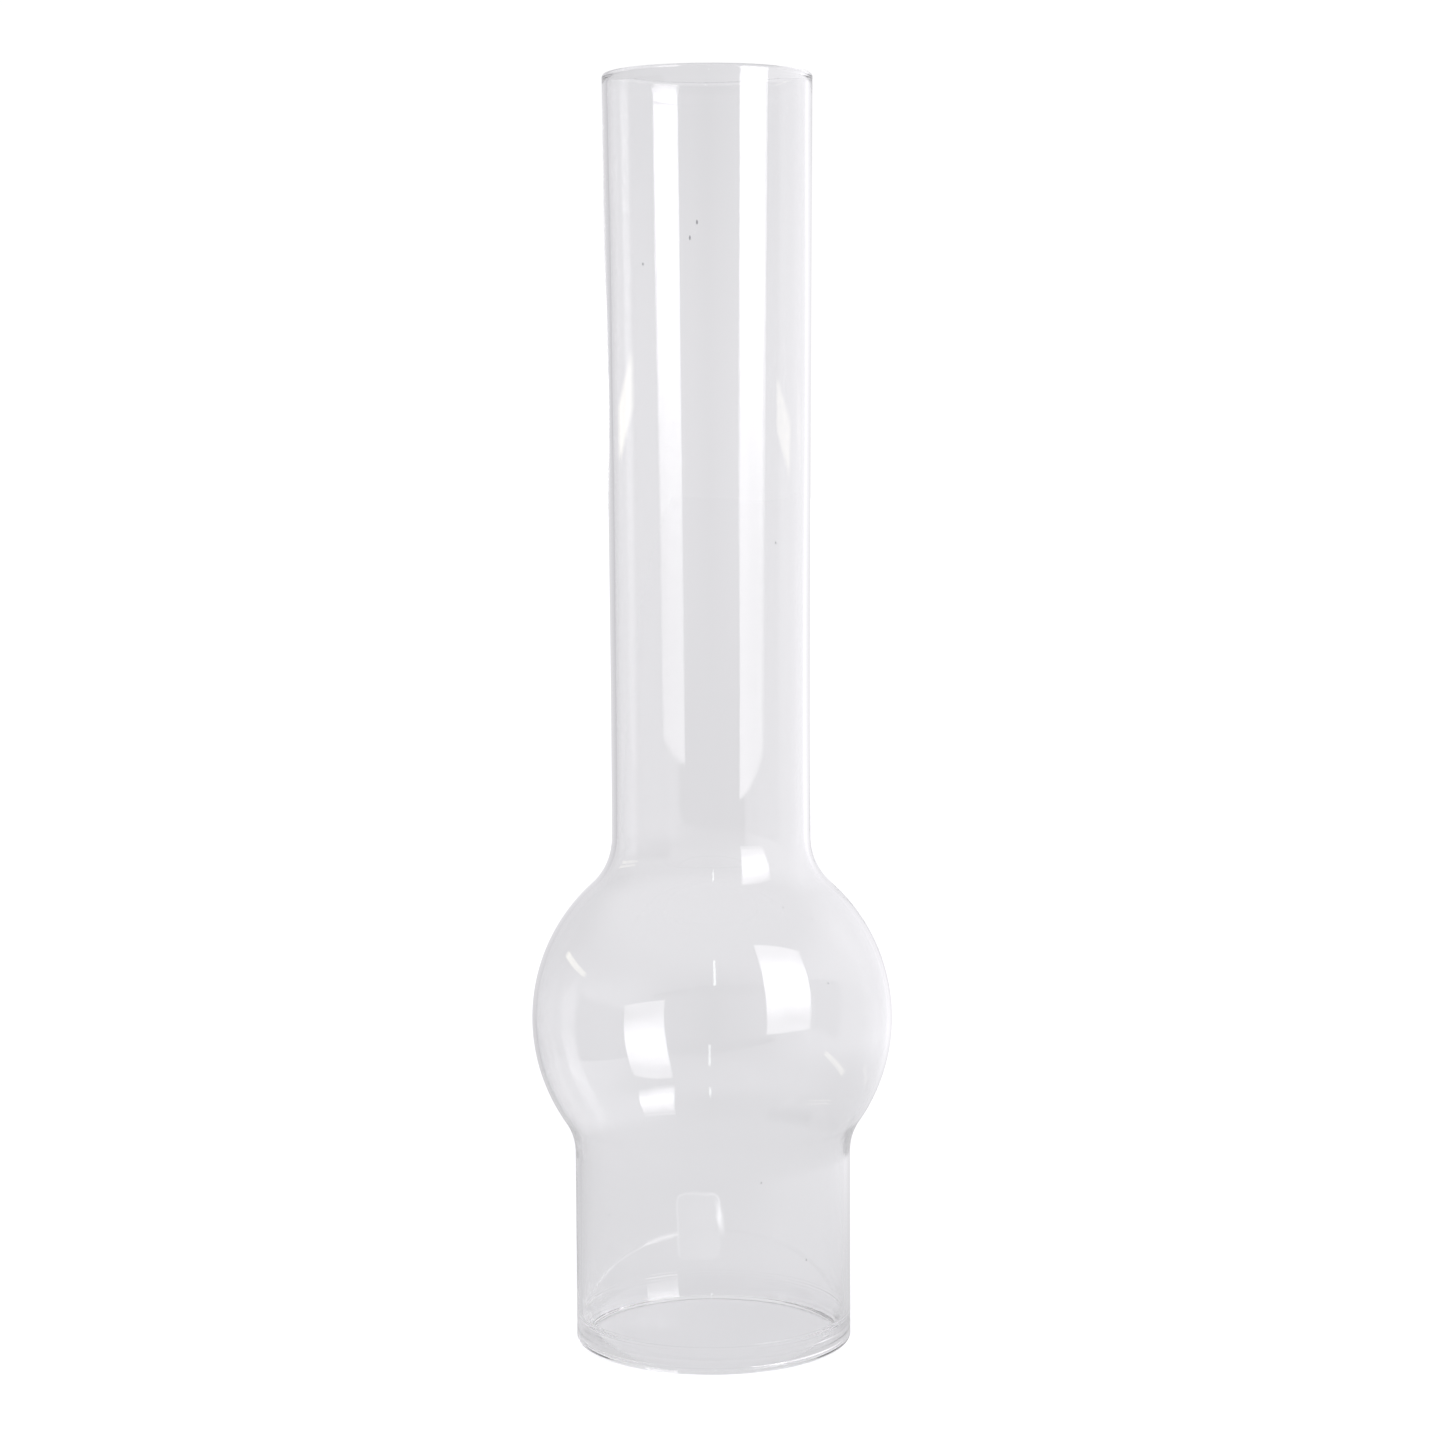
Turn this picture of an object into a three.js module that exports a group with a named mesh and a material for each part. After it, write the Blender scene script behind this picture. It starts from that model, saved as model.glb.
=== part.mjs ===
// Oil lamp chimney: one piece of clear blown glass, open at both ends.
// Millimetres, +Z up. The origin is the centre of the base rim, in the plane that the glass stands on.

import * as THREE from "three";

// Outside of the glass
const overallHeight = 241;
const seatDiameter = 53;
const bulbDiameter = 69.1;
const bulbCentreHeight = 62.6;
const neckDiameter = 38;
const mouthDiameter = 39.4;

// Hollow fillets where the bulb runs into the seat below it and into the flue above it
const seatFilletRadius = 12;
const neckFilletRadius = 12.5;

// Thickness of the glass: the bulb was blown out of the tube, so its wall is thinner
const tubeWall = 1.1;
const bulbWall = 0.8;

// Fire-polished rims: the heat gathers the glass inwards into a lip, which fades out over its height. The base was
// worked hotter, so that its lip is the heavier one
const baseLipSwell = 1.35;
const baseLipHeight = 5.6;
const baseEdgeRadius = 0.75;
const mouthLipSwell = 0.2;
const mouthLipHeight = 1.6;

// The flue opens slowly at first and faster towards the mouth
const flarePower = 1.5;

// Facets
const turnSteps = 60;
const bulbSteps = 12;
const filletSteps = 4;
const flueSteps = 4;
const lipSteps = 3;
const edgeSteps = 2;
const mouthSteps = 4;

const seatRadius = seatDiameter / 2;
const bulbRadius = bulbDiameter / 2;
const neckRadius = neckDiameter / 2;
const mouthRadius = mouthDiameter / 2;
const bulbCentre = new THREE.Vector2(0, bulbCentreHeight);

// A rim is as thick as the wall and its lip. The mouth is fully round, and the base keeps a flat to stand on.
const baseRimWall = tubeWall + baseLipSwell;
const mouthRound = (tubeWall + mouthLipSwell) / 2;
const mouthStart = overallHeight - mouthRound;
const flatShare = 0.25;
const baseRound = Math.min(baseEdgeRadius, (baseRimWall * (1 - flatShare)) / 2);

// The values from 0 to 1 in even steps, both ends included.
function evenSteps(count) {
  return Array.from({ length: count + 1 }, (_, i) => i / count);
}

// Points of an arc in the profile plane, where x is the distance from the axis and y is the height.
function arc(centre, radius, fromAngle, toAngle, count) {
  return evenSteps(count).map((t) => {
    const angle = fromAngle + (toAngle - fromAngle) * t;
    return new THREE.Vector2(radius * Math.cos(angle), radius * Math.sin(angle)).add(centre);
  });
}

// The fillet that touches a tube's side and the bulb, with side -1 under the bulb and 1 over it.
// lean is the angle at the bulb's centre from its widest level to the point where the fillet touches it.
function fillet(tube, bulb, radius, side) {
  const lean = Math.acos((tube + radius) / (bulb + radius));
  const rise = side * (bulb + radius) * Math.sin(lean);
  return { centre: new THREE.Vector2(tube + radius, bulbCentreHeight + rise), radius, lean };
}

// The line of one face of the wall from the top of the seat, round the bulb, to the foot of the flue.
function bulbLine(seat, bulb, neck, seatFillet, neckFillet) {
  const below = fillet(seat, bulb, seatFillet, -1);
  const above = fillet(neck, bulb, neckFillet, 1);
  return [
    ...arc(below.centre, below.radius, Math.PI, Math.PI - below.lean, filletSteps),
    ...arc(bulbCentre, bulb, -below.lean, above.lean, bulbSteps).slice(1, -1),
    ...arc(above.centre, above.radius, Math.PI + above.lean, Math.PI, filletSteps),
  ];
}

// Radius of the flue's outside, which flares from the top of the neck fillet to the mouth.
function flueRadius(height) {
  const foot = fillet(neckRadius, bulbRadius, neckFilletRadius, 1).centre.y;
  const t = Math.max((height - foot) / (mouthStart - foot), 0);
  return neckRadius + (mouthRadius - neckRadius) * t ** flarePower;
}

// The line of one face of the flue between two heights, both left out, inset from the outside by a depth.
function flueLine(fromHeight, toHeight, depth) {
  return evenSteps(flueSteps)
    .slice(1, -1)
    .map((t) => fromHeight + (toHeight - fromHeight) * t)
    .map((height) => new THREE.Vector2(flueRadius(height) - depth, height));
}

// The inner line of a lip, from just past the rim's rounding to the plain wall, where its swell has eased out as the
// square of what is left of its height. radiusAt gives the outside of the glass at a distance from the rim, and
// heightAt the height there.
function lipLine(rounding, swell, height, radiusAt, heightAt) {
  return evenSteps(lipSteps)
    .slice(1)
    .map((t) => {
      const distance = rounding + height * t;
      const depth = tubeWall + swell * (1 - t) ** 2;
      return new THREE.Vector2(radiusAt(distance) - depth, heightAt(distance));
    });
}

function outsideLine() {
  const bulb = bulbLine(seatRadius, bulbRadius, neckRadius, seatFilletRadius, neckFilletRadius);
  return [...bulb, ...flueLine(bulb.at(-1).y, mouthStart, 0)];
}

function insideLine() {
  const seatLip = lipLine(baseRound, baseLipSwell, baseLipHeight, () => seatRadius, (d) => d);
  const fromRim = (d) => overallHeight - d;
  const flueAt = (d) => flueRadius(fromRim(d));
  const mouthLip = lipLine(mouthRound, mouthLipSwell, mouthLipHeight, flueAt, fromRim).reverse();
  const bulb = bulbLine(
    seatRadius - tubeWall,
    bulbRadius - bulbWall,
    neckRadius - tubeWall,
    seatFilletRadius + tubeWall,
    neckFilletRadius + tubeWall,
  );
  return [...seatLip, ...bulb, ...flueLine(bulb.at(-1).y, mouthLip[0].y, tubeWall), ...mouthLip];
}

// The closed outline of the wall: round the outer edge of the base rim, up the outside, over the mouth, down the
// inside and round the inner edge of the base rim, back to the flat that the glass stands on.
function wallOutline() {
  const outerEdgeCentre = new THREE.Vector2(seatRadius - baseRound, baseRound);
  const innerEdgeCentre = new THREE.Vector2(seatRadius - baseRimWall + baseRound, baseRound);
  const mouthCentre = new THREE.Vector2(mouthRadius - mouthRound, mouthStart);
  const outerEdge = arc(outerEdgeCentre, baseRound, -Math.PI / 2, 0, edgeSteps);
  const innerEdge = arc(innerEdgeCentre, baseRound, Math.PI, Math.PI + Math.PI / 2, edgeSteps);
  const mouth = arc(mouthCentre, mouthRound, 0, Math.PI, mouthSteps);
  return [...outerEdge, ...outsideLine(), ...mouth, ...insideLine().reverse(), ...innerEdge, outerEdge[0]];
}

function clearGlass() {
  return new THREE.MeshStandardMaterial({
    color: 0xdfe3e6,
    roughness: 0.04,
    metalness: 0,
    transparent: true,
    opacity: 0.35,
  });
}

// The outline turned round the axis. A lathe turns about Y, so the solid is then tipped up to stand along Z.
function chimneyGlass() {
  const solid = new THREE.LatheGeometry(wallOutline(), turnSteps).rotateX(Math.PI / 2);
  const mesh = new THREE.Mesh(solid, clearGlass());
  mesh.name = "chimney_glass";
  return mesh;
}

const chimney = new THREE.Group();
chimney.name = "oil_lamp_chimney";
chimney.add(chimneyGlass());

export default chimney;
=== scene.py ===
"""The looks of an oil lamp chimney: one piece of clear blown glass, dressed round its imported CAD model.

Everything is in metres, +Z up, in the frame of the CAD part: the glass stands on z = 0 with its axis on Z,
and the photograph looks along +Y. An azimuth here is a compass angle round the glass, in degrees, that is 0
towards the camera and grows towards the camera's right.
"""

import logging
import math
from collections.abc import Callable
from dataclasses import dataclass, field
from enum import Enum

import bpy
import numpy as np
from mathutils import Matrix, Vector


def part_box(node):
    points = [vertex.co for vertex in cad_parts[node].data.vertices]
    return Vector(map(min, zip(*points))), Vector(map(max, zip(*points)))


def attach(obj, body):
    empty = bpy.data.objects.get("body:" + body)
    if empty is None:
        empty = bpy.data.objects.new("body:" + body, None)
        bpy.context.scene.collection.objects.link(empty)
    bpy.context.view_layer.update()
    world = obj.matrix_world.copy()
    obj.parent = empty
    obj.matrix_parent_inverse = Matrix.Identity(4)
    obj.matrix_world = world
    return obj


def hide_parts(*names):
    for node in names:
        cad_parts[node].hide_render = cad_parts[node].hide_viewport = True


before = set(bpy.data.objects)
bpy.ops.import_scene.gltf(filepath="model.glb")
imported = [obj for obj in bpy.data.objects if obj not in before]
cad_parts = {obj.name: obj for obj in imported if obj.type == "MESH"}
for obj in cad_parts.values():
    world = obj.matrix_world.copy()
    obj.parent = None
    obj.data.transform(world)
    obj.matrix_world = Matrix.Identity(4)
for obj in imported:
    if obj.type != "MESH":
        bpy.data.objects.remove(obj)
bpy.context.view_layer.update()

MM = 0.001
GLASS_NODE = "chimney_glass"
ROOT_BODY = "root"
TRAPPED_BOUNCES = 96
FULL_TURN = 360.0
DEGREES = FULL_TURN / (2 * math.pi)
BLACK = (0.0, 0.0, 0.0, 1.0)

# The Mix node's colour sockets, by number: its two colours and its result
MIX_FIRST = 6
MIX_SECOND = 7
MIX_RESULT = 2

log = logging.getLogger("chimney")


class Face(Enum):
    """The two faces of the glass wall."""

    OUTER = "outer"
    INNER = "inner"


class Ray(Enum):
    """Outputs of the Light Path node that the stage reads."""

    CAMERA = "Is Camera Ray"
    SCATTERED = "Diffuse Depth"
    MIRRORED = "Glossy Depth"


def towards(azimuth: float) -> Vector:
    """The level unit direction at an azimuth in degrees."""
    angle = math.radians(azimuth)
    return Vector((math.sin(angle), -math.cos(angle), 0.0))


class Term:
    """A number in a shader, written as Python arithmetic: each operator adds one Math node."""

    def __init__(self, sheet: "NodeSheet", socket: bpy.types.NodeSocket) -> None:
        """Wraps a socket.

        Args:
            sheet: the node sheet that new Math nodes go to.
            socket: the output that holds the number.
        """
        self.sheet = sheet
        self.socket = socket

    def math(self, operation: str, *values: "Term | float") -> "Term":
        """One Math node.

        Args:
            operation: the node's operation.
            *values: its inputs in order.

        Returns:
            The node's result.
        """
        inputs = dict(enumerate(values))
        node = self.sheet.add("ShaderNodeMath", {"operation": operation}, inputs)
        return Term(self.sheet, node.outputs[0])

    def __add__(self, other: "Term | float") -> "Term":
        """The sum."""
        return self.math("ADD", self, other)

    def __radd__(self, other: float) -> "Term":
        """The sum with a plain number first."""
        return self.math("ADD", other, self)

    def __sub__(self, other: "Term | float") -> "Term":
        """The difference."""
        return self.math("SUBTRACT", self, other)

    def __rsub__(self, other: float) -> "Term":
        """The difference from a plain number."""
        return self.math("SUBTRACT", other, self)

    def __mul__(self, other: "Term | float") -> "Term":
        """The product."""
        return self.math("MULTIPLY", self, other)

    def __rmul__(self, other: float) -> "Term":
        """The product with a plain number first."""
        return self.math("MULTIPLY", other, self)

    def __truediv__(self, other: "Term | float") -> "Term":
        """The quotient."""
        return self.math("DIVIDE", self, other)

    def above(self, limit: "Term | float") -> "Term":
        """1 where the number is over a limit, and 0 elsewhere."""
        return self.math("GREATER_THAN", self, limit)

    def absolute(self) -> "Term":
        """The number without its sign."""
        return self.math("ABSOLUTE", self)

    def root(self) -> "Term":
        """The square root."""
        return self.math("SQRT", self)

    def larger(self, other: "Term | float") -> "Term":
        """The larger of two numbers."""
        return self.math("MAXIMUM", self, other)

    def smaller(self, other: "Term | float") -> "Term":
        """The smaller of two numbers."""
        return self.math("MINIMUM", self, other)

    def clipped(self) -> "Term":
        """The number held between 0 and 1."""
        return self.larger(0.0).smaller(1.0)

    def eased(self, start: float, end: float) -> "Term":
        """A smooth step.

        Args:
            start: the number at which the step is 0.
            end: the number at which it has reached 1.

        Returns:
            The step's height, from 0 to 1.
        """
        settings = {"interpolation_type": "SMOOTHSTEP"}
        inputs = {"Value": self, "From Min": start, "From Max": end}
        node = self.sheet.add("ShaderNodeMapRange", settings, inputs)
        return Term(self.sheet, node.outputs["Result"])


Value = Term | bpy.types.NodeSocket | float | tuple


def azimuth_of(across: Term, ahead: Term) -> Term:
    """The azimuth of a direction, in degrees, from -180 to 180.

    Args:
        across: the direction's part to the camera's right.
        ahead: the direction's part away from the camera.

    Returns:
        The azimuth.
    """
    return across.math("ARCTAN2", across, -1.0 * ahead) * DEGREES


class NodeSheet:
    """The node tree of a material or of the world, emptied and filled by code."""

    def __init__(self, owner: bpy.types.Material | bpy.types.World) -> None:
        """Takes over the owner's node tree.

        Args:
            owner: the material or world.
        """
        owner.use_nodes = True
        self.tree = owner.node_tree
        self.tree.nodes.clear()

    def add(self, kind: str, settings: dict | None = None, inputs: dict | None = None) -> bpy.types.Node:
        """Adds one node.

        Args:
            kind: the node's type.
            settings: its properties, set first; "stops" are the places and colours of a ramp.
            inputs: values or links for its sockets, by name or number.

        Returns:
            The node.
        """
        node = self.tree.nodes.new(kind)
        for name, value in (settings or {}).items():
            if name == "stops":
                self._set_stops(node.color_ramp.elements, value)
            else:
                setattr(node, name, value)
        for key, value in (inputs or {}).items():
            self.feed(node.inputs[key], value)
        return node

    def feed(self, socket: bpy.types.NodeSocket, value: Value) -> None:
        """Links a socket to a term or an output, or sets it to a constant.

        Args:
            socket: the input to feed.
            value: the term, the output or the constant.
        """
        if isinstance(value, Term):
            value = value.socket
        if isinstance(value, bpy.types.NodeSocket):
            self.tree.links.new(value, socket)
        else:
            socket.default_value = value

    def term(self, node: bpy.types.Node, output: str | int = 0) -> Term:
        """A node's output as a term."""
        return Term(self, node.outputs[output])

    def ray(self, kind: Ray) -> Term:
        """What the Light Path node says of the ray that is being shaded."""
        return self.term(self.add("ShaderNodeLightPath"), kind.value)

    def mix_colour(self, share: Value, first: Value, second: Value) -> bpy.types.NodeSocket:
        """Mixes two colours.

        Args:
            share: how much of the second colour shows, from 0 to 1.
            first: the colour at share 0.
            second: the colour at share 1.

        Returns:
            The mixed colour.
        """
        inputs = {"Factor": share, MIX_FIRST: first, MIX_SECOND: second}
        return self.add("ShaderNodeMix", {"data_type": "RGBA"}, inputs).outputs[MIX_RESULT]

    def mix_shader(self, share: Value, first: Value, second: Value) -> bpy.types.NodeSocket:
        """Mixes two shaders, with share as how much of the second shows."""
        return self.add("ShaderNodeMixShader", inputs={0: share, 1: first, 2: second}).outputs[0]

    @staticmethod
    def _set_stops(elements: bpy.types.ColorRampElements, stops: list) -> None:
        """Gives a colour ramp its stops.

        Args:
            elements: the ramp's elements.
            stops: pairs of a place and a colour, in order.
        """
        while len(elements) < len(stops):
            elements.new(1.0)
        for element, (place, colour) in zip(elements, stops):
            element.position = place
            element.color = colour


@dataclass(frozen=True)
class WallProfile:
    """The closed outline of the glass wall in the half plane of radius and height.

    The seat is a straight tube and the bulb a sphere, joined by hollow fillets to the seat and to the flue,
    which flares as a power of the height. The fire-polished rims are gathered inwards into lips.
    """

    height: float
    bulb_radius: float
    seat_radius: float = 26.5 * MM
    bulb_centre: float = 62.6 * MM
    neck_radius: float = 19.0 * MM
    mouth_radius: float = 19.7 * MM
    seat_fillet: float = 12.0 * MM
    neck_fillet: float = 12.5 * MM
    tube_wall: float = 1.1 * MM
    bulb_wall: float = 0.8 * MM
    base_swell: float = 1.35 * MM
    base_lip: float = 5.6 * MM
    base_round: float = 0.75 * MM
    mouth_swell: float = 0.2 * MM
    mouth_lip: float = 1.6 * MM
    ring_share: float = 0.4
    ring_pitch: float = 0.62 * MM
    ring_depth: float = 0.034 * MM
    flare_power: float = 1.5
    waist_depth: float = 0.1 * MM
    waist_share: float = 0.25
    arc_steps: int = 14
    bulb_steps: int = 56
    tube_steps: int = 24
    base_lip_steps: int = 68
    mouth_lip_steps: int = 10
    rim_steps: int = 16

    @property
    def mouth_round(self) -> float:
        """Radius of the round that the glass ends in at the mouth."""
        return (self.tube_wall + self.mouth_swell) / 2

    @property
    def mouth_start(self) -> float:
        """Height at which the round of the mouth begins."""
        return self.height - self.mouth_round

    def fillet(self, tube: float, bulb: float, radius: float, side: int) -> tuple[float, float, float]:
        """The arc that touches a tube's side and the bulb.

        The arc's centre lies one arc radius out from the tube and one out from the bulb, so the lean is the
        angle whose cosine is (tube + radius) / (bulb + radius).

        Args:
            tube: radius of the tube.
            bulb: radius of the bulb.
            radius: radius of the arc.
            side: -1 under the bulb and 1 over it.

        Returns:
            The arc centre's radius and height, and the lean at the bulb's centre from its widest level.
        """
        lean = math.acos((tube + radius) / (bulb + radius))
        rise = side * (bulb + radius) * math.sin(lean)
        return tube + radius, self.bulb_centre + rise, lean

    def flue_radius(self, height: np.ndarray) -> np.ndarray:
        """Outer radius of the flue: the neck plus the flare times the flare power of the share of the height.

        A slight waist is taken off, as deep as the squared sine of half a turn that is warped to peak early.

        Args:
            height: heights in the flue.

        Returns:
            The outer radius at each height.
        """
        foot = self.fillet(self.neck_radius, self.bulb_radius, self.neck_fillet, 1)[1]
        share = np.clip((height - foot) / (self.mouth_start - foot), 0.0, 1.0)
        warp = math.log(0.5) / math.log(self.waist_share)
        waist = self.waist_depth * np.sin(math.pi * share**warp) ** 2
        return self.neck_radius + (self.mouth_radius - self.neck_radius) * share**self.flare_power - waist

    @staticmethod
    def arc(centre: tuple[float, float], radius: float, start: float, end: float, steps: int) -> np.ndarray:
        """Points of an arc: the centre plus the radius times (cosine, sine) of evenly spaced angles.

        Args:
            centre: radius and height of the arc's centre.
            radius: the arc's radius.
            start: first angle, in radians from the direction away from the axis.
            end: last angle.
            steps: number of steps between them.

        Returns:
            One row of radius and height for each point.
        """
        angle = np.linspace(start, end, steps + 1)
        return np.stack([centre[0] + radius * np.cos(angle), centre[1] + radius * np.sin(angle)], axis=1)

    def bulb_line(self, face: Face) -> np.ndarray:
        """One face of the wall from the seat round the bulb to the flue: an arc, the bulb's arc and an arc.

        Args:
            face: the outer or the inner face.

        Returns:
            Rows of radius and height, from the bottom up.
        """
        inset = 0.0 if face is Face.OUTER else self.tube_wall
        bulb = self.bulb_radius - (0.0 if face is Face.OUTER else self.bulb_wall)
        below_radius = self.seat_fillet + inset
        above_radius = self.neck_fillet + inset
        below = self.fillet(self.seat_radius - inset, bulb, below_radius, -1)
        above = self.fillet(self.neck_radius - inset, bulb, above_radius, 1)
        return np.concatenate(
            [
                self.arc(below[:2], below_radius, math.pi, math.pi - below[2], self.arc_steps),
                self.arc((0.0, self.bulb_centre), bulb, -below[2], above[2], self.bulb_steps)[1:-1],
                self.arc(above[:2], above_radius, math.pi + above[2], math.pi, self.arc_steps),
            ]
        )

    def tube_line(self, start: float, end: float, radius: float | None, inset: float) -> np.ndarray:
        """A stretch of the seat or of the flue, both ends left out.

        Args:
            start: height of the first end.
            end: height of the last end.
            radius: outer radius of a straight tube, or None for the flue.
            inset: depth of the face in the wall.

        Returns:
            Rows of radius and height.
        """
        height = np.linspace(start, end, self.tube_steps + 2)[1:-1]
        outer = self.flue_radius(height) if radius is None else np.full_like(height, radius)
        return np.stack([outer - inset, height], axis=1)

    def base_lip_line(self) -> np.ndarray:
        """The inner face of the lip at the base, which carries fine rings from the tool where it fades out.

        The rings are a cosine of the height inside a squared sine over the last share of the lip.

        Returns:
            Rows of radius and height, from the rim up.
        """
        distance, depth = self._lip(self.base_round, self.base_lip, self.base_swell, self.base_lip_steps)
        share = (distance - self.base_round) / self.base_lip
        fade = np.sin(math.pi * np.clip((share - 1.0) / self.ring_share + 1.0, 0.0, 1.0)) ** 2
        rings = self.ring_depth * fade * np.cos(2 * math.pi * distance / self.ring_pitch)
        return np.stack([self.seat_radius - depth - rings, distance], axis=1)

    def mouth_lip_line(self) -> np.ndarray:
        """The inner face of the lip at the mouth.

        Returns:
            Rows of radius and height, from the rim down.
        """
        distance, depth = self._lip(self.mouth_round, self.mouth_lip, self.mouth_swell, self.mouth_lip_steps)
        height = self.height - distance
        return np.stack([self.flue_radius(height) - depth, height], axis=1)

    def _lip(
        self, rounding: float, length: float, swell: float, steps: int
    ) -> tuple[np.ndarray, np.ndarray]:
        """A lip's wall: the tube's wall plus the swell times the square of the lip's share still to come.

        Args:
            rounding: distance from the rim at which the lip begins.
            length: the lip's length.
            swell: how much thicker than the tube's wall it begins.
            steps: number of steps along it.

        Returns:
            Distances from the rim, and the thickness of the wall at each.
        """
        share = np.linspace(0.0, 1.0, steps + 1)
        return rounding + length * share, self.tube_wall + swell * (1.0 - share) ** 2

    def outline(self) -> np.ndarray:
        """The closed outline: base edge, outside, mouth, inside and base edge, with no point twice.

        Returns:
            Rows of radius and height.
        """
        quarter = math.pi / 2
        edge_steps = self.rim_steps // 2
        outer_edge = (self.seat_radius - self.base_round, self.base_round)
        base_lip = self.base_lip_line()
        mouth_lip = self.mouth_lip_line()
        inner_edge = (base_lip[0, 0] + self.base_round, self.base_round)
        mouth = (self.mouth_radius - self.mouth_round, self.mouth_start)
        outer_bulb = self.bulb_line(Face.OUTER)
        inner_bulb = self.bulb_line(Face.INNER)
        outside = [
            self.arc(outer_edge, self.base_round, -quarter, 0.0, edge_steps),
            self.tube_line(self.base_round, outer_bulb[0, 1], self.seat_radius, 0.0),
            outer_bulb,
            self.tube_line(outer_bulb[-1, 1], self.mouth_start, None, 0.0),
            self.arc(mouth, self.mouth_round, 0.0, math.pi, self.rim_steps),
        ]
        inside = [
            mouth_lip[1:],
            self.tube_line(mouth_lip[-1, 1], inner_bulb[-1, 1], None, self.tube_wall),
            inner_bulb[::-1],
            self.tube_line(inner_bulb[0, 1], base_lip[-1, 1], self.seat_radius, self.tube_wall),
            base_lip[:0:-1],
            self.arc(inner_edge, self.base_round, math.pi, math.pi + quarter, edge_steps),
        ]
        return np.concatenate(outside + inside)

    def outer_point(self, azimuth: float, height: float) -> Vector:
        """The point of the outer face at an azimuth and a height, read off the outline's outer part.

        Args:
            azimuth: the azimuth in degrees.
            height: the height over the base rim.

        Returns:
            The point.
        """
        outline = self.outline()
        outer = outline[: int(outline[:, 1].argmax()) + 1]
        radius = float(np.interp(height, outer[:, 1], outer[:, 0]))
        return towards(azimuth) * radius + Vector((0.0, 0.0, height))


@dataclass(frozen=True)
class Speck:
    """A dark speck in the outer face of the glass, longer than it is wide because the tube was drawn."""

    azimuth: float
    height: float
    size: float = 1.0


@dataclass(frozen=True)
class DriedMark:
    """A dried film on the outer face: a rounded patch with a brighter rim, which is thickest along one side.

    The light that the film scatters is given as a faint glow, so each haze is the brightness that it adds.
    """

    azimuth: float = -5.8
    height: float = 28.2 * MM
    half_width: float = 3.9 * MM
    half_height: float = 6.2 * MM
    corner: float = 1.6 * MM
    rim: float = 0.35 * MM
    body_haze: float = 0.016
    rim_haze: float = 0.05
    side_haze: float = 0.12
    side_width: float = 0.9 * MM
    side_middle: float = 1.8 * MM
    side_reach: float = 4.4 * MM
    side_lean: float = 0.15
    fray_scale: float = 450.0
    fray_detail: float = 2.0


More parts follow.
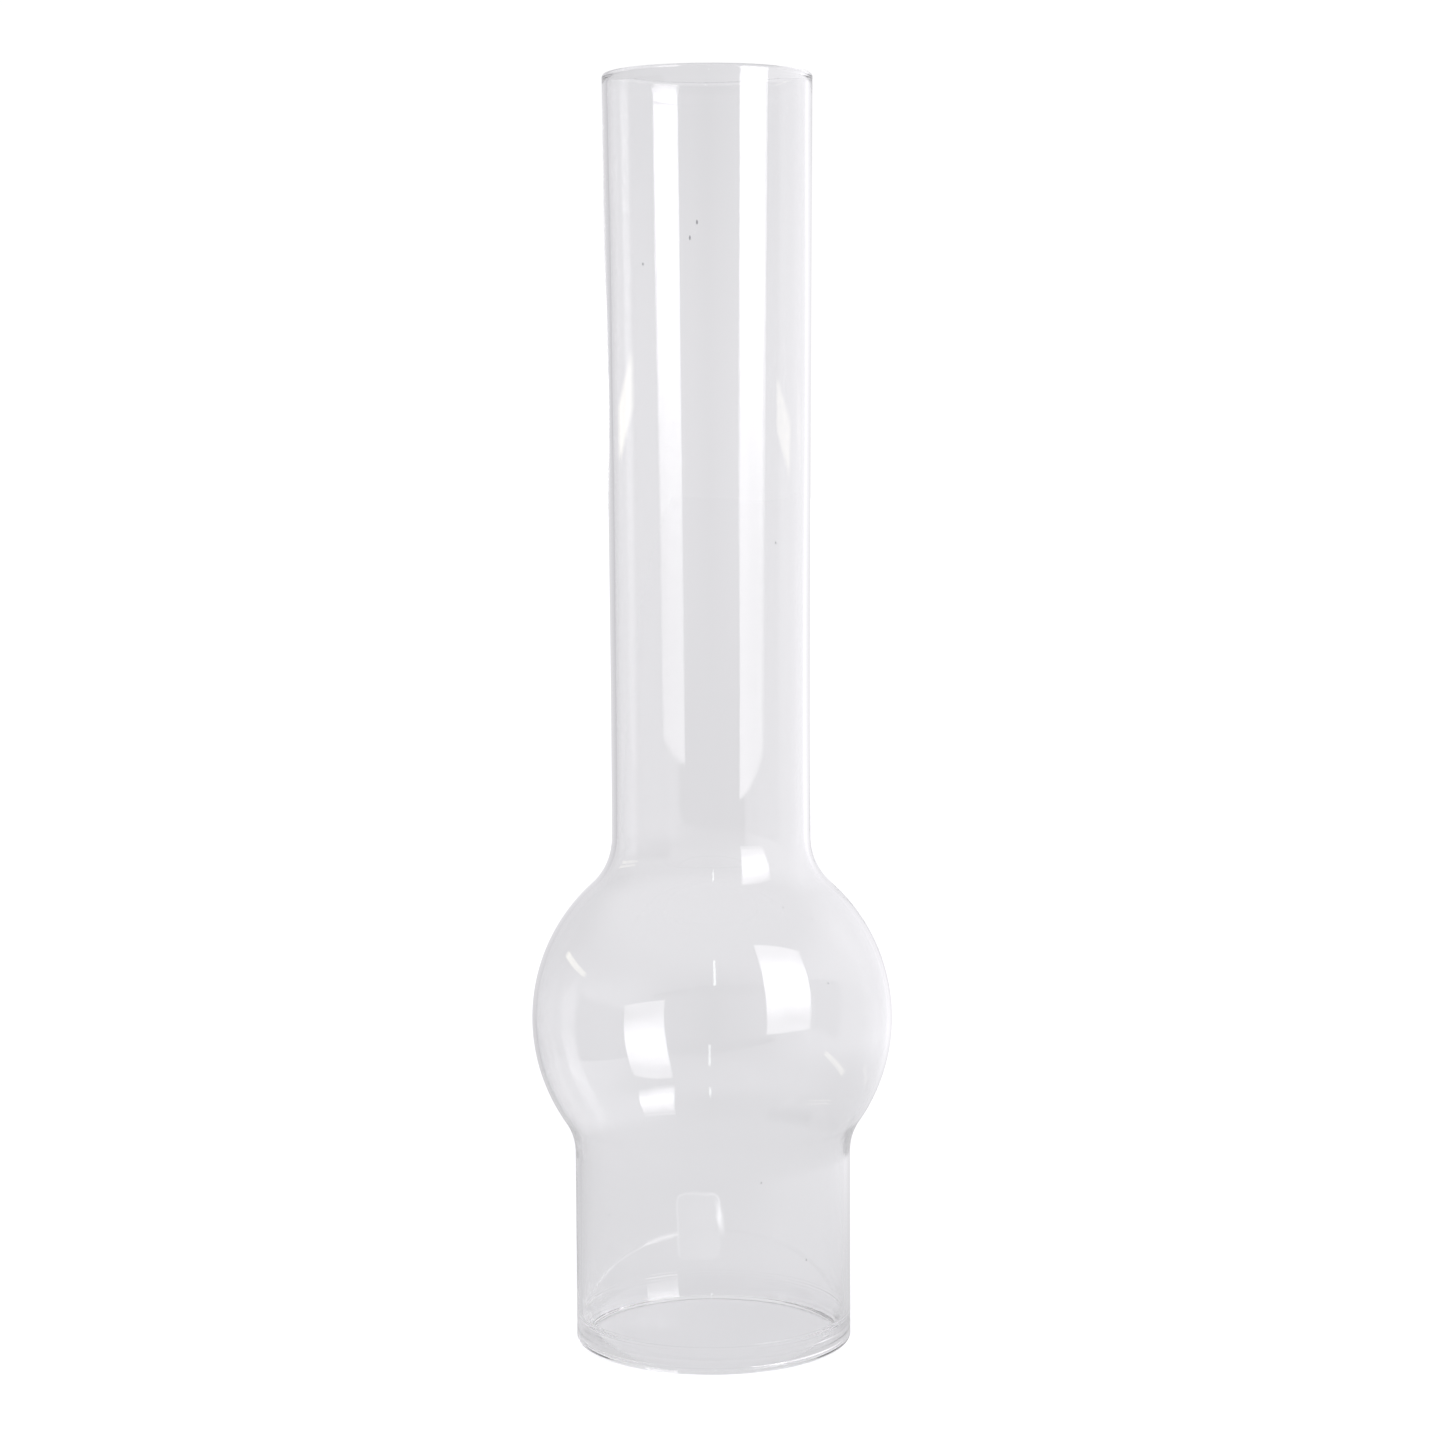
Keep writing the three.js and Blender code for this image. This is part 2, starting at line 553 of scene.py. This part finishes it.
@dataclass(frozen=True)
class BlownGlass:
    """Clear blown glass: near colourless, with faint drawn streaks, a thin film of handling and a few seeds.

    Dark specks sit at given places of the outer face, and a dried mark on a small patch of the seat adds a
    painted glow, standing in for the light that its film scatters.
    """

    colour: tuple = (0.998, 0.998, 0.999, 1.0)
    streak_colour: tuple = (0.994, 0.995, 0.996, 1.0)
    seed_colour: tuple = (0.25, 0.25, 0.27, 1.0)
    ior: float = 1.5
    polish: float = 0.01
    film: float = 0.035
    streak_pitch: float = 2.6 * MM
    streak_length: float = 120 * MM
    seed_pitch: float = 11 * MM
    seed_radius: float = 0.28 * MM
    seed_share: float = 0.1
    seed_core: float = 0.6
    speck_radius: float = 0.24 * MM
    speck_core: float = 0.5
    speck_stretch: float = 2.4
    film_scale: float = 60.0
    film_detail: float = 3.0
    film_reach: tuple = (0.35, 0.75)
    haze_glow_colour: tuple = (0.93, 0.93, 0.95, 1.0)
    relief: float = 0.005 * MM
    mark: DriedMark = DriedMark()
    specks: tuple[Speck, ...] = (
        Speck(-5.8, 212.5 * MM),
        Speck(-9.7, 209.7 * MM),
        Speck(-37.8, 205.2 * MM, 0.7),
        Speck(39.8, 154.1 * MM, 0.6),
        Speck(19.7, 36.1 * MM, 0.45),
        Speck(41.0, 20.1 * MM, 0.55),
        Speck(32.8, 87.0 * MM, 0.5),
        Speck(44.3, 84.5 * MM, 0.5),
        Speck(40.7, 73.5 * MM, 0.5),
    )

    def build(self, name: str, outer_point: Callable[[float, float], Vector]) -> bpy.types.Material:
        """Makes the material.

        Args:
            name: the material's name.
            outer_point: gives the point of the outer face at an azimuth and a height.

        Returns:
            The material.
        """
        material = bpy.data.materials.new(name)
        sheet = NodeSheet(material)
        place = sheet.add("ShaderNodeTexCoord").outputs["Object"]
        streaks = self._streaks(sheet, place)
        specks = [(outer_point(speck.azimuth, speck.height), speck.size) for speck in self.specks]
        seeds = self._seeds(sheet, place).larger(self._specks(sheet, place, specks))
        film = self._film(sheet, place)
        tint = sheet.mix_colour(streaks, self.colour, self.streak_colour)
        colour = sheet.mix_colour(seeds, tint, self.seed_colour)
        haze = self._haze(sheet, place, outer_point(self.mark.azimuth, self.mark.height))
        height = streaks * (1.0 - seeds)
        bump = sheet.add("ShaderNodeBump", inputs={"Distance": self.relief, "Height": height})
        glass = sheet.add(
            "ShaderNodeBsdfPrincipled",
            inputs={
                "Base Color": colour,
                "Roughness": self.polish + (self.film - self.polish) * film,
                "IOR": self.ior,
                "Transmission Weight": 1.0,
                # Painted glow: the dried mark's emission stands in for the light its film scatters; the mark
                # itself is real.
                "Emission Color": sheet.mix_colour(haze, BLACK, self.haze_glow_colour),
                "Emission Strength": 1.0,
                "Normal": bump.outputs["Normal"],
            },
        )
        sheet.add("ShaderNodeOutputMaterial", inputs={"Surface": glass.outputs["BSDF"]})
        return material

    def _specks(
        self, sheet: NodeSheet, place: bpy.types.NodeSocket, specks: list[tuple[Vector, float]]
    ) -> Term:
        """Ellipsoids round the specks: the distance to the nearest, over its size, with the heights pressed.

        Args:
            sheet: the node sheet to build on.
            place: the object coordinates.
            specks: the place and the size of each speck.

        Returns:
            1 inside a speck and 0 elsewhere, with a soft edge.
        """
        press = (1.0, 1.0, 1.0 / self.speck_stretch)
        spot = sheet.add("ShaderNodeMapping", inputs={"Vector": place, "Scale": press}).outputs[0]
        nearest: Term | None = None
        for where, size in specks:
            centre = tuple(part * scale for part, scale in zip(where, press))
            gap = sheet.add("ShaderNodeVectorMath", {"operation": "DISTANCE"}, {0: spot, 1: centre})
            distance = sheet.term(gap, "Value") / size
            nearest = distance if nearest is None else distance.smaller(nearest)
        return 1.0 - nearest.eased(self.speck_radius * self.speck_core, self.speck_radius)

    def _haze(self, sheet: NodeSheet, place: bpy.types.NodeSocket, mark_place: Vector) -> Term:
        """How bright the dried mark's painted glow makes the outer face: the mark is real, its brightness is
        painted light.

        The signed distance to a rounded rectangle gives the patch and its rim, which fades to the lower
        right. The distance to its right side gives the thick side, and noise frays them all. The haze ends
        just behind the outer face there, so that the far side of the glass stays clear.

        Args:
            sheet: the node sheet to build on.
            place: the object coordinates.
            mark_place: the middle of the mark.

        Returns:
            The brightness that the haze adds.
        """
        mark = self.mark
        grain = {"Vector": place, "Scale": mark.fray_scale, "Detail": mark.fray_detail}
        noise = sheet.add("ShaderNodeTexNoise", inputs=grain)
        fray = (sheet.term(noise, "Fac") - 0.5) * mark.side_width
        ends = {0: place, 1: tuple(mark_place)}
        middle = sheet.add("ShaderNodeVectorMath", {"operation": "SUBTRACT"}, ends)
        split = sheet.add("ShaderNodeSeparateXYZ", inputs={0: middle.outputs[0]})
        across, near, upward = (sheet.term(split, axis) for axis in ("X", "Y", "Z"))
        beside = across.absolute() - (mark.half_width - mark.corner)
        above = upward.absolute() - (mark.half_height - mark.corner)
        beside_out = beside.larger(0.0)
        above_out = above.larger(0.0)
        gap = (beside_out * beside_out + above_out * above_out).root() - mark.corner + fray
        inside = 1.0 - gap.eased(-mark.rim / 2, mark.rim / 2)
        rim = 1.0 - gap.absolute().eased(0.0, mark.rim)
        rim = rim * (across - upward).eased(mark.half_height, -mark.corner)
        slant = (upward - mark.side_middle) * mark.side_lean
        side = 1.0 - (across - mark.half_width + slant + fray).absolute().eased(0.0, mark.side_width)
        side = side * (1.0 - (upward - mark.side_middle).absolute().eased(0.0, mark.side_reach))
        haze = inside * mark.body_haze + rim * mark.rim_haze + side * mark.side_haze
        return haze * (1.0 - near.absolute().eased(mark.corner / 2, mark.corner))

    def _streaks(self, sheet: NodeSheet, place: bpy.types.NodeSocket) -> Term:
        """Long faint streaks along the axis, left by drawing the tube: noise that is stretched along it.

        Args:
            sheet: the node sheet to build on.
            place: the object coordinates.

        Returns:
            The noise, from 0 to 1.
        """
        across = 1.0 / self.streak_pitch
        scale = (across, across, 1.0 / self.streak_length)
        spot = sheet.add("ShaderNodeMapping", inputs={"Vector": place, "Scale": scale}).outputs[0]
        noise = sheet.add("ShaderNodeTexNoise", inputs={"Vector": spot, "Scale": 1.0})
        return sheet.term(noise, "Fac")

    def _film(self, sheet: NodeSheet, place: bpy.types.NodeSocket) -> Term:
        """Soft clouds of handling, a few centimetres across.

        Args:
            sheet: the node sheet to build on.
            place: the object coordinates.

        Returns:
            How much film there is, from 0 to 1.
        """
        clouds = {"Vector": place, "Scale": self.film_scale, "Detail": self.film_detail}
        noise = sheet.add("ShaderNodeTexNoise", inputs=clouds)
        return sheet.term(noise, "Fac").eased(*self.film_reach)

    def _seeds(self, sheet: NodeSheet, place: bpy.types.NodeSocket) -> Term:
        """Tiny bubbles: dots at the centres of some of the cells of a Voronoi pattern.

        Args:
            sheet: the node sheet to build on.
            place: the object coordinates.

        Returns:
            1 inside a bubble and 0 elsewhere, with a soft edge.
        """
        inputs = {"Vector": place, "Scale": 1.0 / self.seed_pitch}
        cells = sheet.add("ShaderNodeTexVoronoi", inputs=inputs)
        chance = sheet.add("ShaderNodeSeparateColor", inputs={"Color": cells.outputs["Color"]})
        picked = 1.0 - sheet.term(chance, "Red").above(self.seed_share)
        reach = self.seed_radius / self.seed_pitch
        inside = 1.0 - sheet.term(cells, "Distance").eased(reach * self.seed_core, reach)
        return inside * picked


@dataclass
class ChimneyGlass:
    """The lamp chimney itself: the wall profile turned round the axis, slightly uneven as blown glass is."""

    low: Vector
    high: Vector
    finish: BlownGlass = BlownGlass()
    turns: int = 256
    unevenness: float = 0.035 * MM
    wall_unevenness: float = 0.05 * MM
    shape_seed: int = 3
    wall_seed: int = 8
    wave_lobes: tuple = (2, 3, 4, 5, 7)
    wave_lengths: tuple = (170 * MM, 120 * MM, 90 * MM, 70 * MM, 45 * MM)
    wave_heights: tuple = (0.40, 0.26, 0.16, 0.11, 0.07)

    @property
    def profile(self) -> WallProfile:
        """The wall's outline, with its height and widest radius from the CAD part's box."""
        return WallProfile(height=self.high.z - self.low.z, bulb_radius=(self.high.x - self.low.x) / 2)

    def drift(self, height: np.ndarray, angle: np.ndarray, seed: int) -> np.ndarray:
        """Slow waves over the glass: a sum of cosines of a whole number of turns and of the height.

        Args:
            height: height of each point.
            angle: angle of each point round the axis.
            seed: picks the waves' phases.

        Returns:
            A wave height between about -1 and 1 for each point.
        """
        random = np.random.default_rng(seed)
        phases = random.uniform(0.0, 2 * math.pi, (2, len(self.wave_lobes)))
        turn = np.array(self.wave_lobes) * angle[..., None] + phases[0]
        climb = 2 * math.pi * height[..., None] / np.array(self.wave_lengths) + phases[1]
        return (np.array(self.wave_heights) * np.cos(turn) * np.cos(climb)).sum(axis=-1)

    def build(self) -> bpy.types.Object:
        """Makes the mesh, dresses it and puts it on the CAD body.

        A point is the outline's radius and height turned by an angle, with the radius moved by the drift of
        the blown shape and, on the inner face, by that of the wall's thickness. Both fade out at the base.

        Returns:
            The glass.
        """
        profile = self.profile
        outline = profile.outline()
        rows = len(outline)
        angle = np.linspace(0.0, 2 * math.pi, self.turns, endpoint=False)
        height, turn = np.meshgrid(outline[:, 1], angle, indexing="ij")
        radius = np.repeat(outline[:, :1], self.turns, axis=1)
        inner = self._inner_share(outline)[:, None]
        settle = np.clip(height / profile.seat_fillet, 0.0, 1.0)
        radius = radius - self.unevenness * (1.0 - self.drift(height, turn, self.shape_seed)) / 2 * settle
        radius = radius + inner * self.wall_unevenness * self.drift(height, turn, self.wall_seed) * settle
        points = np.stack([radius * np.cos(turn), radius * np.sin(turn), height], axis=-1).reshape(-1, 3)
        points[:, 2] += self.low.z
        row, step = np.meshgrid(np.arange(rows), np.arange(self.turns), indexing="ij")
        next_row, next_step = (row + 1) % rows, (step + 1) % self.turns
        corners = [(row, step), (row, next_step), (next_row, next_step), (next_row, step)]
        quads = np.stack([r * self.turns + s for r, s in corners], axis=-1).reshape(-1, 4)
        glass = mesh_object("blown_glass", points, quads)
        glass.data.shade_smooth()
        glass.data.materials.append(self.finish.build("clear_blown_glass", profile.outer_point))
        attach(glass, ROOT_BODY)
        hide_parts(GLASS_NODE)
        return glass

    def _inner_share(self, outline: np.ndarray) -> np.ndarray:
        """Which face of the wall each point of the outline is on, by the half of the outline it is in.

        Args:
            outline: rows of radius and height.

        Returns:
            1 on the inner face and 0 on the outer face.
        """
        peak = int(outline[:, 1].argmax())
        share = np.zeros(len(outline))
        share[peak + 1 :] = 1.0
        return share


def mesh_object(name: str, points: np.ndarray, faces: np.ndarray) -> bpy.types.Object:
    """Makes a mesh object at the origin.

    Args:
        name: the object's name.
        points: one row of coordinates for each vertex.
        faces: one row of vertex numbers for each face.

    Returns:
        The object, linked to the scene.
    """
    mesh = bpy.data.meshes.new(name)
    mesh.from_pydata(points.tolist(), [], faces.tolist())
    mesh.update()
    made = bpy.data.objects.new(name, mesh)
    bpy.context.scene.collection.objects.link(made)
    return made


@dataclass(frozen=True)
class Wall:
    """The brightness of the room in one direction, as the glass mirrors it."""

    azimuth: float
    level: float


@dataclass(frozen=True)
class RoomWalls:
    """The walls round the stage: dim on the left, white behind, and brightest on the softbox's side."""

    walls: tuple[Wall, ...] = (
        Wall(-180.0, 0.85),
        Wall(-150.0, 0.63),
        Wall(-120.0, 0.4),
        Wall(-90.0, 0.49),
        Wall(-15.0, 0.5),
        Wall(0.0, 0.43),
        Wall(30.0, 0.71),
        Wall(60.0, 1.41),
        Wall(90.0, 1.5),
        Wall(120.0, 1.5),
        Wall(135.0, 1.2),
        Wall(165.0, 0.85),
        Wall(180.0, 0.85),
    )
    tint: tuple = (0.995, 0.985, 1.02)

    def colour(self, sheet: NodeSheet, azimuth: Term) -> bpy.types.NodeSocket:
        """The walls' colour by the azimuth, blended evenly from wall to wall.

        The ramp's place is the azimuth's share of a full turn, plus one half.

        Args:
            sheet: the node sheet to build on.
            azimuth: the azimuth of the direction.

        Returns:
            The colour.
        """
        share = azimuth / FULL_TURN + 0.5
        stops = [(wall.azimuth / FULL_TURN + 0.5, self._stop(wall.level)) for wall in self.walls]
        return sheet.add("ShaderNodeValToRGB", {"stops": stops}, {"Fac": share}).outputs["Color"]

    def _stop(self, level: float) -> tuple:
        """A wall's colour at a brightness."""
        return (*(level * part for part in self.tint), 1.0)


@dataclass
class PaperFloor:
    """The white paper that the glass stands on.

    The camera sees it lifted to white, less the shadow of the glass. Straight through the glass it is a
    plain diffuse white with painted shade: darker near the glass than far behind it, and darker still in a
    painted contact shadow inside the ring of the glass and round it. For mirrored rays it glows with painted
    light, the walls' brightness by azimuth, with painted shade near the glass. It has a front edge and a left
    edge, beyond which the glass mirrors the dim room.
    """

    reach: float = 6.0
    front_azimuth: float = -24.2
    front_distance: float = 0.29
    left_distance: float = 0.19
    ring_shadow_colour: tuple = (0.712, 0.708, 0.73, 1.0)
    ring_shadow_reach: tuple = (0.024, 0.06)
    near_shade_colour: tuple = (0.75, 0.746, 0.767, 1.0)
    far_colour: tuple = (0.797, 0.79, 0.811, 1.0)
    far_from: float = 0.72
    mirrored_near_shade: tuple = (0.66, 0.657, 0.675, 1.0)
    mirrored_shade_reach: float = 0.02
    mirrored_far_from: float = 0.31
    camera_lift: float = 0.34
    tooth_scale: float = 900.0
    tooth_depth: float = 0.02 * MM
    walls: RoomWalls = field(default_factory=RoomWalls)

    def build(self) -> bpy.types.Object:
        """Makes the floor as one quad: along its front edge, and up to the reach on its other sides.

        The front edge lies at its distance from the glass, square to its azimuth, and meets the left edge
        where the distance to the camera's left is the left distance.

        Returns:
            The floor.
        """
        out = towards(self.front_azimuth)
        left, right = -self.left_distance, self.reach
        corners = [(x, (self.front_distance - out.x * x) / out.y, 0.0) for x in (left, right)]
        corners += [(right, self.reach, 0.0), (left, self.reach, 0.0)]
        floor = mesh_object("paper_floor", np.array(corners), np.array([[0, 1, 2, 3]]))
        floor.data.materials.append(self._paper())
        return floor

    def _paper(self) -> bpy.types.Material:
        """Diffuse white with a faint tooth, an even glow for the camera, and for mirrored rays a glow of
        painted light and shade.

        The distance from the axis takes its colour from the painted ring shadow over the painted near shade
        to the far one.

        Returns:
            The material.
        """
        material = bpy.data.materials.new("white_paper")
        sheet = NodeSheet(material)
        place = sheet.add("ShaderNodeTexCoord").outputs["Object"]
        split = sheet.add("ShaderNodeSeparateXYZ", inputs={0: place})
        across, ahead = sheet.term(split, "X"), sheet.term(split, "Y")
        distance = (across * across + ahead * ahead).root()
        # Painted shade: the paper's colour darkens towards the glass, and a painted contact shadow darkens it
        # inside and round the ring of the glass.
        colour = sheet.mix_colour(distance.eased(0.0, self.far_from), self.near_shade_colour, self.far_colour)
        colour = sheet.mix_colour(distance.eased(*self.ring_shadow_reach), self.ring_shadow_colour, colour)
        tooth = sheet.add("ShaderNodeTexNoise", inputs={"Vector": place, "Scale": self.tooth_scale})
        relief = {"Distance": self.tooth_depth, "Height": tooth.outputs["Fac"]}
        bump = sheet.add("ShaderNodeBump", inputs=relief)
        inputs = {"Color": colour, "Normal": bump.outputs["Normal"]}
        paper = sheet.add("ShaderNodeBsdfDiffuse", inputs=inputs).outputs[0]
        glow = sheet.add("ShaderNodeEmission", inputs={"Strength": sheet.ray(Ray.CAMERA) * self.camera_lift})
        both = sheet.add("ShaderNodeAddShader", inputs={0: paper, 1: glow.outputs[0]})
        # Painted light for mirrored rays: the floor glows with the walls' brightness by azimuth, fading near
        # the glass into painted shade.
        lit = distance.eased(self.mirrored_shade_reach, self.mirrored_far_from)
        walls = self.walls.colour(sheet, azimuth_of(across, ahead))
        mirrored = sheet.mix_colour(lit, self.mirrored_near_shade, walls)
        shine = sheet.add("ShaderNodeEmission", inputs={"Color": mirrored})
        only_mirrored = sheet.ray(Ray.MIRRORED).clipped() * (1.0 - sheet.ray(Ray.SCATTERED).clipped())
        surface = sheet.mix_shader(only_mirrored, both.outputs[0], shine.outputs[0])
        sheet.add("ShaderNodeOutputMaterial", inputs={"Surface": surface})
        return material


@dataclass
class LightPanel:
    """A flat upright light that only shows where the glass mirrors it.

    It is see-through to every ray that no surface has mirrored yet, so it never stands behind the glass.
    Its back points to the azimuth of its facing. A tilt leans it over to look down, and a roll turns it
    clockwise as seen from the glass.
    """

    name: str
    centre: Vector
    width: float
    height: float
    colour: tuple
    strength: float
    facing: float
    tilt: float = 0.0
    roll: float = 0.0
    edge_strength: float | None = None
    hot_height: float = 0.0
    hot_reach: float = 1.0

    def build(self) -> bpy.types.Object:
        """Makes the panel as one quad round its centre.

        Its width runs level and its height runs up, both turned by the roll and leant by the tilt.

        Returns:
            The panel.
        """
        facing = math.radians(self.facing)
        across = Vector((math.cos(facing), math.sin(facing), 0.0))
        normal = Matrix.Rotation(math.radians(-self.tilt), 3, across) @ -towards(self.facing)
        upward = across.cross(normal)
        turn = Matrix.Rotation(math.radians(-self.roll), 3, normal)
        half_width = turn @ across * (self.width / 2)
        half_height = turn @ upward * (self.height / 2)
        signs = ((-1, -1), (1, -1), (1, 1), (-1, 1))
        corners = [self.centre + half_width * x + half_height * y for x, y in signs]
        panel = mesh_object(self.name, np.array(corners), np.array([[0, 1, 2, 3]]))
        panel.data.materials.append(self._glow())
        panel.visible_camera = False
        panel.visible_diffuse = False
        panel.visible_shadow = False
        return panel

    def _glow(self) -> bpy.types.Material:
        """An even glow, or one that swells as a squared cosine of the height round its hottest level.

        Returns:
            The material.
        """
        material = bpy.data.materials.new(self.name)
        sheet = NodeSheet(material)
        colour: Value = self.colour
        if self.edge_strength is not None:
            place = sheet.add("ShaderNodeTexCoord").outputs["Object"]
            level = sheet.term(sheet.add("ShaderNodeSeparateXYZ", inputs={0: place}), "Z")
            share = ((level - self.hot_height) / self.hot_reach).absolute().clipped()
            wave = share.math("COSINE", share * (math.pi / 2))
            edge = (*(part * self.edge_strength / self.strength for part in self.colour[:3]), 1.0)
            colour = sheet.mix_colour(wave * wave, edge, self.colour)
        glow = sheet.add("ShaderNodeEmission", inputs={"Color": colour, "Strength": self.strength}).outputs[0]
        clear = sheet.add("ShaderNodeBsdfTransparent").outputs[0]
        surface = sheet.mix_shader(sheet.ray(Ray.MIRRORED).clipped(), clear, glow)
        sheet.add("ShaderNodeOutputMaterial", inputs={"Surface": surface})
        return material


@dataclass(frozen=True)
class DarkPart:
    """A stretch of the room that lies in the dark, between two azimuths and under an elevation."""

    start: float
    end: float
    top: float
    colour: tuple
    blur: float = 5.0


@dataclass
class StudioRoom:
    """The air round the stage, as the world's colour.

    The camera sees white. Diffuse rays find an even, plain light. Rays that went straight through the glass
    find the pale backdrop, and mirrored rays find the room's walls, its ceiling and its dark parts. A reach
    is the pair of elevations, in degrees, between which one colour gives way to the next.
    """

    white: tuple = (1.02, 1.02, 1.02, 1.0)
    daylight: tuple = (1.0, 1.0, 1.0, 1.0)
    backdrop: tuple = (0.797, 0.79, 0.811, 1.0)
    upper_backdrop: tuple = (0.755, 0.75, 0.77, 1.0)
    upper_reach: tuple = (0.5, 6.5)
    ceiling: tuple = (0.9, 0.89, 0.92, 1.0)
    ceiling_reach: tuple = (22.0, 50.0)
    walls: RoomWalls = field(default_factory=RoomWalls)
    dark_parts: tuple[DarkPart, ...] = (
        DarkPart(-115.0, 40.0, -4.0, (0.37, 0.365, 0.38, 1.0)),
        DarkPart(-97.0, -50.0, 9.7, (0.06, 0.06, 0.065, 1.0)),
        DarkPart(-52.0, 12.0, -7.0, (0.3, 0.295, 0.31, 1.0)),
    )

    def build(self) -> bpy.types.World:
        """Makes the world.

        Returns:
            The world, set on the scene.
        """
        world = bpy.data.worlds.new("studio_room")
        sheet = NodeSheet(world)
        way = sheet.add("ShaderNodeTexCoord").outputs["Generated"]
        split = sheet.add("ShaderNodeSeparateXYZ", inputs={0: way})
        across, ahead, upward = (sheet.term(split, axis) for axis in ("X", "Y", "Z"))
        azimuth = azimuth_of(across, ahead)
        elevation = upward.math("ARCSINE", upward) * DEGREES
        room = self.walls.colour(sheet, azimuth)
        room = sheet.mix_colour(elevation.eased(*self.ceiling_reach), room, self.ceiling)
        for part in self.dark_parts:
            half = part.blur / 2
            inside = azimuth.eased(part.start - half, part.start + half)
            inside = inside * (1.0 - azimuth.eased(part.end - half, part.end + half))
            inside = inside * (1.0 - elevation.eased(part.top - half, part.top + half))
            room = sheet.mix_colour(inside, room, part.colour)
        backdrop = sheet.mix_colour(elevation.eased(*self.upper_reach), self.backdrop, self.upper_backdrop)
        seen = sheet.mix_colour(sheet.ray(Ray.MIRRORED).clipped(), backdrop, room)
        seen = sheet.mix_colour(sheet.ray(Ray.SCATTERED).clipped(), seen, self.daylight)
        seen = sheet.mix_colour(sheet.ray(Ray.CAMERA), seen, self.white)
        air = sheet.add("ShaderNodeBackground", inputs={"Color": seen})
        sheet.add("ShaderNodeOutputWorld", inputs={"Surface": air.outputs[0]})
        bpy.context.scene.world = world
        return world


@dataclass
class PhotoCamera:
    """The photograph's camera: near the glass and below its mouth, looking slightly down, a touch rolled."""

    distance: float = 0.5907
    height: float = 0.1778
    pitch: float = 5.65
    roll: float = 0.29
    side_step: float = 2.28 * MM
    focal_pixels: float = 3115.9
    frame_pixels: float = 1445.0
    sensor: float = 36.0
    nearest: float = 0.05
    farthest: float = 50.0

    def build(self) -> bpy.types.Object:
        """Makes the camera.

        The lens is the focal length in pixels times the sensor's width over the frame's width. The camera is
        turned sideways so that its middle passes the axis at the side step.

        Returns:
            The camera, set on the scene.
        """
        data = bpy.data.cameras.new("photo_camera")
        data.sensor_width = self.sensor
        data.lens = self.focal_pixels * self.sensor / self.frame_pixels
        data.clip_start = self.nearest
        data.clip_end = self.farthest
        camera = bpy.data.objects.new("photo_camera", data)
        bpy.context.scene.collection.objects.link(camera)
        yaw = math.atan2(self.side_step, self.distance)
        look = (
            Matrix.Rotation(-yaw, 4, "Z")
            @ Matrix.Rotation(math.radians(90.0 - self.pitch), 4, "X")
            @ Matrix.Rotation(math.radians(-self.roll), 4, "Z")
        )
        camera.matrix_world = Matrix.Translation((0.0, -self.distance, self.height)) @ look
        bpy.context.scene.camera = camera
        return camera


def studio_lights() -> list[LightPanel]:
    """The lights that the photograph's glass mirrors: a softbox, a low warm strip and a far ceiling lamp.

    Returns:
        The panels, not built yet.
    """
    lamp_azimuth, lamp_distance, lamp_height = 2.0, 3.0, 2.5
    softbox = LightPanel(
        name="softbox",
        centre=Vector((0.4145, -0.2938, 0.2782)),
        width=0.337,
        height=0.4935,
        colour=(1.0, 0.985, 1.0, 1.0),
        strength=6.2,
        facing=20.9,
        tilt=19.4,
        roll=-0.8,
        edge_strength=2.8,
        hot_height=0.28,
        hot_reach=0.19,
    )
    warm_strip = LightPanel(
        name="warm_strip",
        centre=Vector((-0.352, 0.114, 0.177)),
        width=0.18,
        height=0.017,
        colour=(1.0, 0.97, 0.83, 1.0),
        strength=1.7,
        facing=-108.0,
        roll=5.0,
    )
    ceiling_lamp = LightPanel(
        name="ceiling_lamp",
        centre=towards(lamp_azimuth) * lamp_distance + Vector((0.0, 0.0, lamp_height)),
        width=0.1,
        height=1.4,
        colour=(0.95, 1.0, 0.98, 1.0),
        strength=4.0,
        facing=lamp_azimuth,
    )
    return [softbox, warm_strip, ceiling_lamp]


def set_render_look() -> None:
    """Plain view transform, smoothing of render noise, and paths long enough for light trapped in the wall.

    Glass isn't blurred for light that comes off the floor, so that the floor under the glass stays bright.
    """
    scene = bpy.context.scene
    scene.view_settings.view_transform = "Standard"
    scene.cycles.use_denoising = True
    scene.cycles.use_adaptive_sampling = False
    scene.cycles.blur_glossy = 0.0
    for limit in ("max_bounces", "transmission_bounces", "glossy_bounces", "transparent_max_bounces"):
        setattr(scene.cycles, limit, TRAPPED_BOUNCES)


def report(piece: bpy.types.Object) -> None:
    """Logs a piece with its count of faces."""
    log.info("%s: %d faces", piece.name, len(piece.data.polygons))


def main() -> None:
    """Builds the glass, its stage and the camera in order."""
    logging.basicConfig(level=logging.INFO, format="%(name)s: %(message)s")
    set_render_look()
    PhotoCamera().build()
    StudioRoom().build()
    report(PaperFloor().build())
    for panel in studio_lights():
        report(panel.build())
    low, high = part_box(GLASS_NODE)
    report(ChimneyGlass(low, high).build())


if __name__ == "__main__":
    main()
